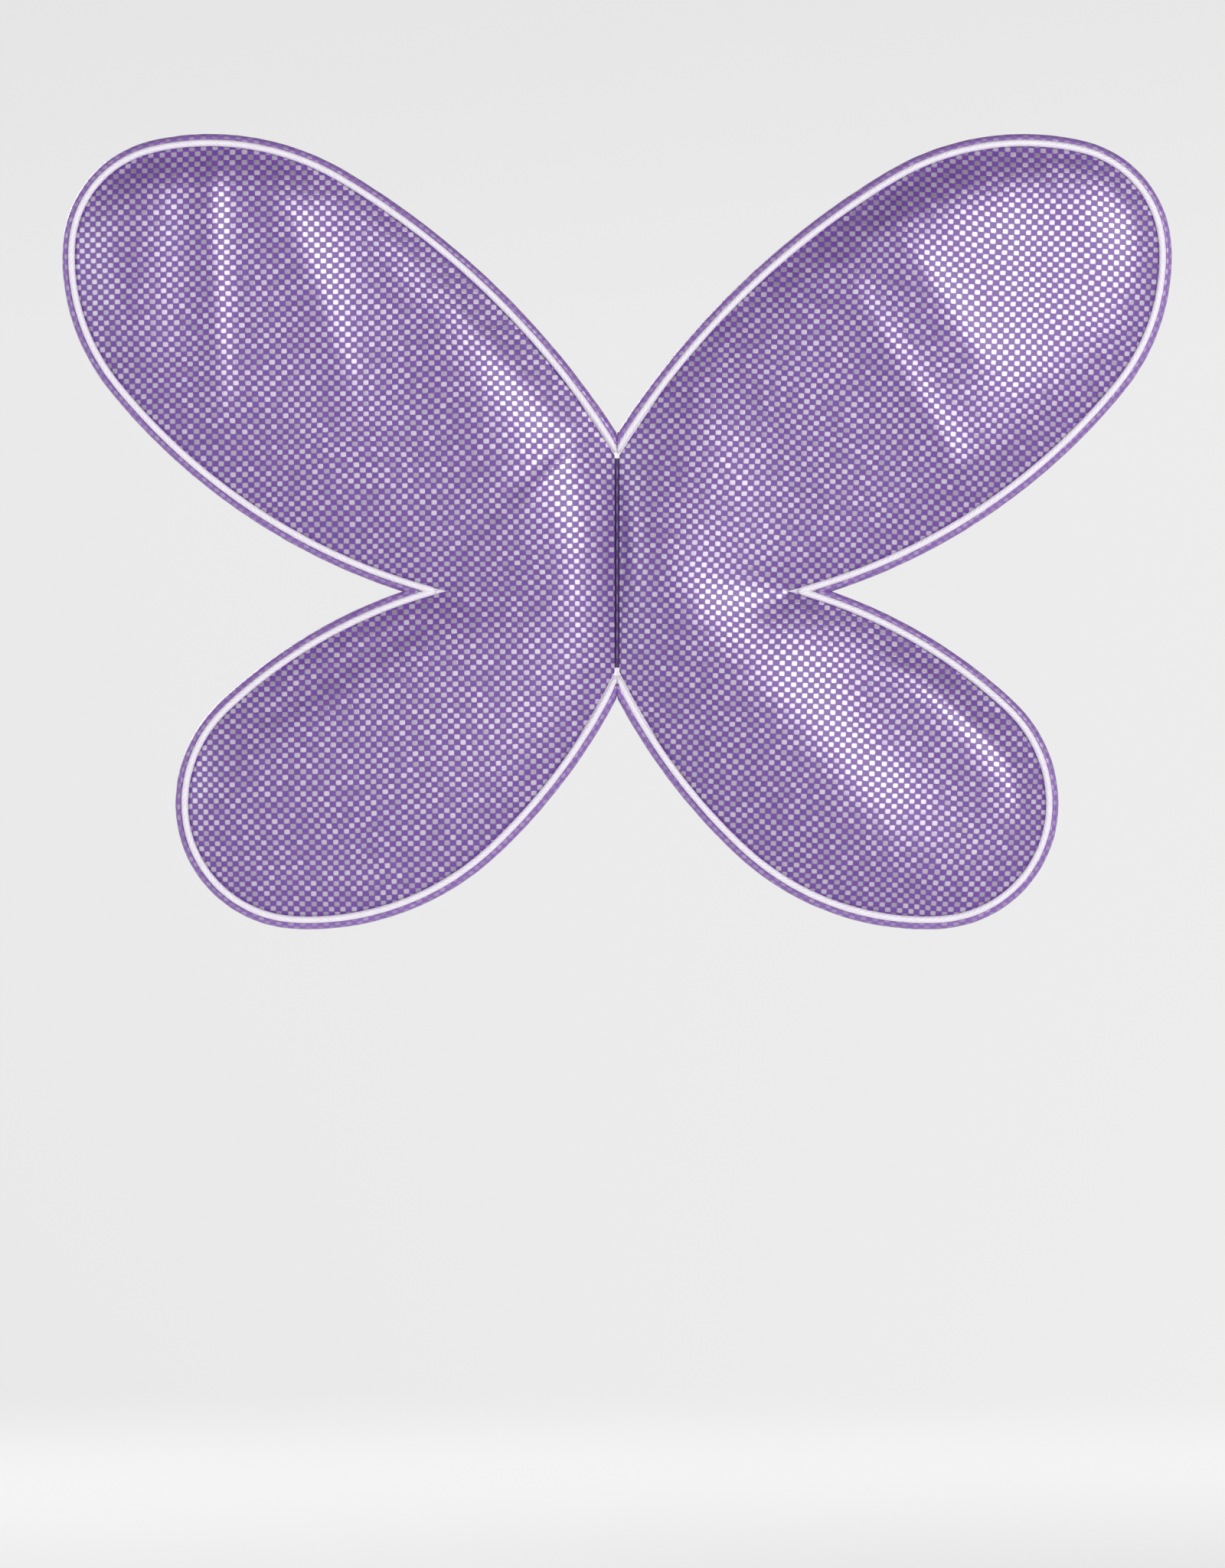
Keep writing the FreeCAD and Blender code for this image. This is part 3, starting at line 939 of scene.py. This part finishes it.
def loop_tail(u, heading):
    """Stations on the straight elastic under the patch, from its stitched end to the loop."""
    end = loop_point(u)
    height = LOOP_HEIGHT * (1 - 2 * u)
    return [(Vector((-LOOP_END_X - LOOP_TAIL * k / LOOP_TAIL_STEPS, end.y, height)),
             Vector((heading, 0.0, 0.0)), LOOP_FLAT) for k in range(LOOP_TAIL_STEPS)]


def arm_loop(side):
    sign = -SIDES[side]
    outline = elastic_section()
    nudge = 1e-3
    stations = loop_tail(0, -1.0)
    for i in range(LOOP_STEPS + 1):
        u = i / LOOP_STEPS
        tangent = (loop_point(u + nudge) - loop_point(u - nudge)).normalized()
        ease = float(smooth(min(u, 1.0 - u) / LOOP_SETTLE))
        inward = (LOOP_HOLE - loop_point(u)).normalized()
        stations.append((loop_point(u), tangent, LOOP_FLAT * (1.0 - ease) + inward * ease))
    stations += reversed(loop_tail(1, 1.0))
    places, uvs = [], []
    along = 0.0
    last = stations[0][0]
    for point, tangent, normal in stations:
        along += (point - last).length
        last = point
        across = tangent.cross(normal).normalized()
        up = across.cross(tangent).normalized()
        pulse = 1.0 + ELASTIC_PULSE[0] * math.sin(along * ELASTIC_PULSE[1])
        for a, b in outline:
            p = point + across * a * pulse + up * b
            places.append((sign * p.x * MM, p.y * MM, p.z * MM))
            uvs.append((along, a))
    faces = ring_faces(len(stations), len(outline))
    return closed_piece(side + "_elastic", places, faces, MATERIALS["elastic"], uvs)


# ---- materials ----

class Nodes:
    """The nodes of a material or a world, made by short calls."""

    def __init__(self, owner):
        owner.use_nodes = True
        self.owner = owner
        self.tree = owner.node_tree
        self.shader = self.tree.nodes.get("Principled BSDF")

    def add(self, kind, **values):
        node = self.tree.nodes.new("ShaderNode" + kind)
        for key, value in values.items():
            setattr(node, key, value)
        return node

    def wire(self, source, target):
        self.tree.links.new(source, target)

    def feed(self, socket, value):
        """A value is another node's socket, a number, or a colour's three numbers."""
        if hasattr(value, "is_output"):
            self.wire(value, socket)
        else:
            socket.default_value = (*value, 1.0) if isinstance(value, tuple) else value

    def maths(self, operation, *values):
        node = self.add("Math", operation=operation)
        for socket, value in zip(node.inputs, values):
            self.feed(socket, value)
        return node.outputs[0]

    def plus(self, a, b):
        return self.maths("ADD", a, b)

    def minus(self, a, b):
        return self.maths("SUBTRACT", a, b)

    def times(self, a, b):
        return self.maths("MULTIPLY", a, b)

    def wave(self, value, pace, kind="SINE"):
        """The value times pace, through a sine or whatever kind of sum is named."""
        return self.maths(kind, self.times(value, pace))

    def ramp(self, value, low, high, to_low=0.0, to_high=1.0, kind="SMOOTHSTEP"):
        node = self.add("MapRange", interpolation_type=kind)
        for socket, given in zip(node.inputs, (value, low, high, to_low, to_high)):
            self.feed(socket, given)
        return node.outputs[0]

    def mix(self, share, a, b):
        node = self.add("Mix", data_type="RGBA")
        self.feed(node.inputs[0], share)
        self.feed(node.inputs[6], a)
        self.feed(node.inputs[7], b)
        return node.outputs[2]

    def noise(self, vector, scale, detail=3.0):
        node = self.add("TexNoise")
        self.wire(vector, node.inputs["Vector"])
        node.inputs["Scale"].default_value = scale
        node.inputs["Detail"].default_value = detail
        return node.outputs["Fac"]

    def cloth(self):
        """The cloth's own millimetres, as a vector and as its two sockets."""
        uv = self.add("UVMap", uv_map="cloth").outputs[0]
        u, v, _ = self.split(uv)
        return uv, u, v

    def split(self, vector):
        node = self.add("SeparateXYZ")
        self.wire(vector, node.inputs[0])
        return node.outputs

    def vector(self, operation, value):
        node = self.add("VectorMath", operation=operation)
        self.wire(value, node.inputs[0])
        return node.outputs

    def place(self):
        """The object's own place, in metres."""
        return self.add("TexCoord").outputs["Object"]

    def colour(self, share, dark, light):
        self.wire(self.mix(share, dark, light), self.shader.inputs["Base Color"])

    def across(self, noise, low, high):
        """From low to high over the middle of a noise, where most of its values lie."""
        return self.ramp(noise, 0.3, 0.7, low, high)

    def rough(self, noise, low, high):
        self.wire(self.across(noise, low, high), self.shader.inputs["Roughness"])

    def bump(self, height, depth, strength):
        """depth is in millimetres."""
        node = self.add("Bump")
        node.inputs["Strength"].default_value = strength
        node.inputs["Distance"].default_value = depth * MM
        self.wire(height, node.inputs["Height"])
        self.wire(node.outputs[0], self.shader.inputs["Normal"])

    def set(self, **values):
        for name, value in values.items():
            self.feed(self.shader.inputs[name.replace("_", " ")], value)


# Dotted cloth
DRIFT_SCALES = (0.05, 0.043)  # the dot rows wander by a slow noise across and along,
DRIFT_REACH = 1.6  # over this many millimetres
DOT_EDGE = (-0.12, 0.42)  # the lattice's value where a dot's edge starts and is full
FOIL = ((0.36, 0.31, 0.42), (0.58, 0.53, 0.62))
FOIL_METAL = 0.6
FOIL_ROUGH = (0.35, 0.46)
CLOTH_ROUGH = (0.36, 0.46)
WEAVE_PACES = (21.0, 33.0)  # of the twill's slanting lines and of the threads across them
WEAVE_SLANT = 1.7
THREAD_SHARE = 0.6
WEAVE_HEIGHT = 0.1  # beside a dot's height of 1
CRUMPLE = (1.6, 0.35)  # scale and height


def dotted_cloth(name, dark, light, dot_share):
    """Purple satin with a staggered lattice of small silver foil dots."""
    n = Nodes(bpy.data.materials.new(name))
    cloth, u, v = n.cloth()
    drifts = [n.times(n.minus(n.noise(cloth, scale, 1.0), 0.5), DRIFT_REACH) for scale in DRIFT_SCALES]
    u = n.plus(u, drifts[0])
    v = n.plus(v, drifts[1])
    wave_u = n.wave(u, TURN / DOT_PITCH[0], "COSINE")
    wave_v = n.wave(v, TURN / DOT_PITCH[1], "COSINE")
    dots = n.ramp(n.times(wave_u, wave_v), *DOT_EDGE, 0.0, dot_share)
    cell = n.add("CombineXYZ")
    n.wire(n.wave(u, 2.0 / DOT_PITCH[0], "ROUND"), cell.inputs[0])
    n.wire(n.wave(v, 2.0 / DOT_PITCH[1], "ROUND"), cell.inputs[1])
    chance = n.add("TexWhiteNoise", noise_dimensions="2D")
    n.wire(cell.outputs[0], chance.inputs["Vector"])
    each = chance.outputs["Value"]
    patchy = n.noise(cloth, 0.35, 4.0)
    n.colour(dots, n.mix(patchy, dark, light), n.mix(each, *FOIL))
    n.wire(n.times(dots, FOIL_METAL), n.shader.inputs["Metallic"])
    rough = n.add("Mix", data_type="FLOAT")
    n.wire(dots, rough.inputs[0])
    n.wire(n.across(patchy, *CLOTH_ROUGH), rough.inputs[2])
    n.wire(n.ramp(each, 0.0, 1.0, *FOIL_ROUGH), rough.inputs[3])
    n.wire(rough.outputs[0], n.shader.inputs["Roughness"])
    twill = n.wave(n.plus(u, n.times(v, WEAVE_SLANT)), WEAVE_PACES[0])
    thread = n.wave(n.minus(v, u), WEAVE_PACES[1])
    weave = n.times(n.plus(twill, n.times(thread, THREAD_SHARE)), WEAVE_HEIGHT)
    under = n.times(weave, n.minus(1.0, dots))
    crumple = n.times(n.noise(cloth, CRUMPLE[0], 3.0), CRUMPLE[1])
    n.bump(n.plus(n.plus(dots, under), crumple), 0.06, 0.6)
    n.set(Sheen_Weight=0.04, Sheen_Roughness=0.4, Specular_IOR_Level=0.5)
    n.set(Coat_Weight=0.3, Coat_Roughness=0.3, Sheen_Tint=(0.7, 0.45, 1.0))
    return n.owner


def white_satin():
    """Bias-cut satin round a cord: slanting strain lines and a soft sheen."""
    n = Nodes(bpy.data.materials.new("white_satin"))
    cloth, u, v = n.cloth()
    lines = n.wave(n.plus(u, n.times(v, 1.1)), 4.6)
    fine = n.wave(n.minus(u, v), 30.0)
    uneven = n.noise(cloth, 0.6, 4.0)
    # Painted shade: the strain lines lighten and darken the colour as well as the bump, over the
    # satin's own uneven tone.
    tone_and_painted_shade = n.plus(n.times(uneven, 0.7), n.times(lines, 0.12))
    n.colour(tone_and_painted_shade, (0.7, 0.65, 0.76), (0.94, 0.92, 0.95))
    n.rough(uneven, 0.34, 0.48)
    height = n.plus(n.times(lines, 0.5), n.times(fine, 0.12))
    n.bump(n.plus(height, uneven), 0.08, 0.5)
    n.set(Sheen_Weight=0.3, Sheen_Roughness=0.35)
    return n.owner


def spun_thread(name, dark, light):
    """Two-ply thread."""
    n = Nodes(bpy.data.materials.new(name))
    ply = n.noise(n.place(), 3500.0, 2.0)
    n.colour(ply, dark, light)
    n.rough(ply, 0.45, 0.65)
    n.bump(ply, 0.05, 0.6)
    n.set(Sheen_Weight=0.4)
    return n.owner


def felt():
    """Pressed fibres: fine tangled fuzz over slow patches of colour."""
    n = Nodes(bpy.data.materials.new("purple_felt"))
    cloth, _, _ = n.cloth()
    fibres = n.noise(cloth, 3.2, 8.0)
    tufts = n.noise(cloth, 0.9, 5.0)
    mottle = n.ramp(n.times(n.plus(fibres, tufts), 0.5), 0.34, 0.66)
    n.colour(mottle, (0.06, 0.02, 0.15), (0.27, 0.13, 0.48))
    n.rough(fibres, 0.85, 0.98)
    n.bump(n.plus(fibres, tufts), 0.35, 0.9)
    n.set(Sheen_Weight=0.8, Sheen_Roughness=0.6)
    return n.owner


def binding_tape():
    """Plain woven tape."""
    n = Nodes(bpy.data.materials.new("binding_tape"))
    cloth, u, v = n.cloth()
    uneven = n.noise(cloth, 0.8, 3.0)
    # The tape's own dark purple, which where it shows in the centre crease also stands in for the
    # crease's shadow: painted shade.
    n.colour(uneven, (0.06, 0.022, 0.14), (0.12, 0.05, 0.25))
    n.rough(uneven, 0.6, 0.75)
    n.bump(n.times(n.wave(u, 16.0), n.wave(v, 9.0)), 0.06, 0.6)
    n.set(Sheen_Weight=0.3)
    return n.owner


def ribbed_elastic():
    """Braided elastic: small chevrons across lengthwise ribs."""
    n = Nodes(bpy.data.materials.new("ribbed_elastic"))
    cloth, u, v = n.cloth()
    rib = n.maths("ABSOLUTE", n.wave(v, RIBS * math.pi / ELASTIC_WIDTH))
    chevron = n.maths("SINE", n.plus(n.times(u, 9.0), n.times(rib, 2.6)))
    uneven = n.noise(cloth, 0.9, 4.0)
    # Painted shade: the ribs' grooves are darker and their crests lighter, and the chevrons lighten
    # and darken too, over the band's own uneven tone.
    painted_groove_shade = n.ramp(rib, 0.25, 0.75, 0.0, 0.55)
    tone_and_painted_shade = n.plus(n.plus(n.times(uneven, 0.45), n.times(chevron, 0.12)), painted_groove_shade)
    n.colour(tone_and_painted_shade, (0.58, 0.56, 0.64), (0.97, 0.96, 0.98))
    n.rough(uneven, 0.6, 0.78)
    n.bump(n.plus(chevron, n.times(rib, 0.6)), 0.1, 0.7)
    n.set(Sheen_Weight=0.3)
    return n.owner


def soft_wadding():
    """Polyester fluff."""
    n = Nodes(bpy.data.materials.new("polyester_wadding"))
    cloth, _, _ = n.cloth()
    fluff = n.noise(cloth, 0.9, 8.0)
    n.colour(fluff, (0.7, 0.7, 0.7), (0.95, 0.95, 0.95))
    n.rough(fluff, 0.85, 0.95)
    n.bump(fluff, 0.6, 0.8)
    return n.owner


def drawn_metal(name, dark, light, roughness):
    """Drawn or crimped metal with fine scratches."""
    n = Nodes(bpy.data.materials.new(name))
    scratch = n.noise(n.place(), 900.0, 4.0)
    n.colour(scratch, dark, light)
    n.rough(scratch, roughness, roughness + 0.2)
    n.bump(scratch, 0.03, 0.4)
    n.set(Metallic=1.0)
    return n.owner


def plain_floor():
    """A pale floor that takes the sky's brightness further out, so that no horizon shows."""
    n = Nodes(bpy.data.materials.new("pale_floor"))
    place = n.place()
    far = n.ramp(n.vector("LENGTH", place)["Value"], *FLOOR_FADE)
    pale = n.mix(n.noise(place, 3.0, 2.0), (0.8, 0.8, 0.81), (0.84, 0.84, 0.85))
    n.colour(far, pale, (0.0, 0.0, 0.0))
    heading = n.split(n.vector("NORMALIZE", place)[0])
    glow = n.times(n.ramp(heading[0], *SKY_ACROSS, kind="LINEAR"), SKY_STRENGTH)
    n.wire(n.ramp(far, 0.0, 1.0, FLOOR_GLOW, glow), n.shader.inputs["Emission Strength"])
    n.set(Roughness=0.95, Specular_IOR_Level=0.0, Emission_Color=(1.0, 1.0, 1.0))
    return n.owner


# The sky's brightness: low x, high x and the brightness at each, and the same for z.
SKY_ACROSS = (-0.7, 0.7, 0.88, 1.1)
SKY_UP = (0.05, 0.75, 1.0, 0.22)
SKY_STRENGTH = 0.84
FLOOR_FADE = (0.3, 1.6)  # metres from the middle where the floor starts and ends its change
FLOOR_GLOW = 0.3

MATERIALS = {
    "dots": dotted_cloth("dotted_cloth", (0.096, 0.029, 0.23), (0.168, 0.062, 0.356), 1.0),
    # The rolled edge is the inner panel's own dotted cloth, given lighter purples and fainter dots: a
    # painted sheen on its rounded edge.
    "roll": dotted_cloth("rolled_cloth_painted_sheen", (0.16, 0.066, 0.33), (0.27, 0.13, 0.46), 0.45),
    "satin": white_satin(),
    "thread": spun_thread("purple_thread", (0.1, 0.035, 0.23), (0.22, 0.1, 0.42)),
    "topstitch": spun_thread("lilac_thread", (0.38, 0.24, 0.62), (0.62, 0.48, 0.82)),
    "felt": felt(),
    "tape": binding_tape(),
    "elastic": ribbed_elastic(),
    "wadding": soft_wadding(),
    "wire": drawn_metal("drawn_steel", (0.45, 0.45, 0.47), (0.66, 0.66, 0.68), 0.28),
    "sleeve": drawn_metal("crimped_tube", (0.62, 0.62, 0.64), (0.82, 0.82, 0.84), 0.32),
}


# ---- putting the wings together ----

def build_wing(side):
    front, points, outline = cloth_piece(side + "_outer_cloth", side, FRONT_INSET, front_height, False)
    gap, _ = edge_gap(points, outline)
    settle(front, (gap < SIM_RIM) | (np.abs(points[:, 0]) < SIM_CREASE))
    back, _, _ = cloth_piece(side + "_inner_cloth", side, BACK_INSET, back_height, True)
    roll = swept(side + "_rolled_edge", side, ROLL_INSET, ROLL_HEIGHT, ROLL_RADII,
                 ROLL_SEGMENTS, MATERIALS["roll"], True)
    piping = swept(side + "_piping", side, CORD_INSET, CORD_HEIGHT,
                   (CORD_RADIUS, CORD_RADIUS), PIPING_SEGMENTS, MATERIALS["satin"])
    tape = tape_piece(side + "_piping_flange", side)
    rows = [(front, "_outer_panel", "dotted_fabric"), (back, "_inner_panel", "dotted_fabric")]
    rows += [(roll, "_inner_panel", "dotted_fabric"), (piping, "_piping_cord", "white_satin")]
    rows.append((tape, "_piping_tape", "white_satin"))
    for piece, node, slot in rows:
        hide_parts(side + node)
        join_to_spine(piece)
    filling = wadding_piece(side + "_filling", side)
    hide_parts(side + "_wadding")
    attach(filling, side + "_wing")
    flat, area = cut_size(side + "_outer_panel", FRONT_INSET)
    flat, area = cut_size(side + "_inner_panel", BACK_INSET)
    for node, material in (("_frame_wire", "wire"), ("_wire_sleeve", "sleeve")):
        mesh = frame["nodes"][side + node].data
        mesh.materials.clear()
        mesh.materials.append(MATERIALS[material])


def cut_size(node, inset):
    """A cloth's flat size, from its node, and the area inside its outline, in square metres."""
    low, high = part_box(node)
    x, z = closed_outline(inset).T
    area = abs(float((x * np.roll(z, -1) - np.roll(x, -1) * z).sum())) / 2.0 * MM * MM
    return (high.x - low.x, high.z - low.z), area


def build_spine():
    rows = [(felt_patch(), "back_patch", "felt")]
    rows.append((patch_stitches(), "patch_stitches", "thread"))
    rows.append((seam_binding(), "centre_seam_tape", "seam_tape"))
    rows.append((seam_stitches(), "centre_seam_stitches", "thread"))
    rows.append((loop_tacks(), "arm_loop_tacks", "thread"))
    rows += [(arm_loop(side), side + "_arm_loop", "elastic") for side in SIDES]
    for piece, node, slot in rows:
        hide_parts(node)
        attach(piece, "spine")


# ---- stage ----

FRAME_HEIGHT = 0.348  # height of the picture at the wings
AIM_DROP = 0.056  # the picture's middle lies this far under the wings' middle
CAMERA_DISTANCE = 1.9
CAMERA_X = -0.001
SENSOR = 36.0
FLOOR_DROP = 0.3  # floor below the wings' middle
FLOOR_REACH = 300.0
LIGHTS = (  # name, place, diameter, watts and colour
    ("key", (0.85, -1.9, 0.5), 0.75, 21.0, (1.0, 0.98, 0.96)),
    ("fill", (-1.5, -1.1, 0.25), 0.7, 5.0, (0.97, 0.98, 1.0)),
    ("back", (-0.9, 1.4, 0.6), 0.8, 12.0, (1.0, 1.0, 1.0)),
)


def area_light(name, place, aim, size, energy, colour):
    light = bpy.data.lights.new(name, "AREA")
    light.shape = "DISK"
    light.size = size
    light.energy = energy
    light.color = colour
    lamp = add_object(name, light)
    lamp.location = place
    lamp.rotation_euler = (Vector(aim) - Vector(place)).to_track_quat("-Z", "Y").to_euler()


def build_camera(middle):
    aim = Vector((CAMERA_X, 0.0, middle.z - AIM_DROP))
    data = bpy.data.cameras.new("camera")
    data.sensor_fit = "VERTICAL"
    data.sensor_height = SENSOR
    data.lens = SENSOR * CAMERA_DISTANCE / FRAME_HEIGHT
    camera = add_object("camera", data)
    camera.location = (aim.x, FOLD_Y * MM - CAMERA_DISTANCE, aim.z)
    camera.rotation_euler = (math.pi / 2.0, 0.0, 0.0)
    bpy.context.scene.camera = camera


def build_floor(middle):
    mesh = bpy.data.meshes.new("floor")
    z = middle.z - FLOOR_DROP
    corners = ((-1, -1), (1, -1), (1, 1), (-1, 1))
    mesh.from_pydata([(x * FLOOR_REACH, y * FLOOR_REACH, z) for x, y in corners], [], [(0, 1, 2, 3)])
    mesh.materials.append(plain_floor())
    add_object("floor", mesh)


def build_sky():
    world = bpy.data.worlds.new("studio")
    bpy.context.scene.world = world
    n = Nodes(world)
    heading = n.split(n.add("TexCoord").outputs["Generated"])
    up = n.ramp(heading[2], *SKY_UP, kind="LINEAR")
    across = n.ramp(heading[0], *SKY_ACROSS, kind="LINEAR")
    background = n.tree.nodes["Background"]
    n.wire(n.times(up, across), background.inputs[0])
    background.inputs[1].default_value = SKY_STRENGTH


def build_stage():
    middle = (Vector(CAD_BOX[0]) + Vector(CAD_BOX[1])) / 2.0
    build_camera(middle)
    build_floor(middle)
    build_sky()
    bpy.context.scene.view_settings.view_transform = "Standard"
    for name, place, size, energy, colour in LIGHTS:
        area_light(name, place, middle, size, energy, colour)


for name in SIDES:
    build_wing(name)
build_spine()
build_stage()

bpy.context.view_layer.update()
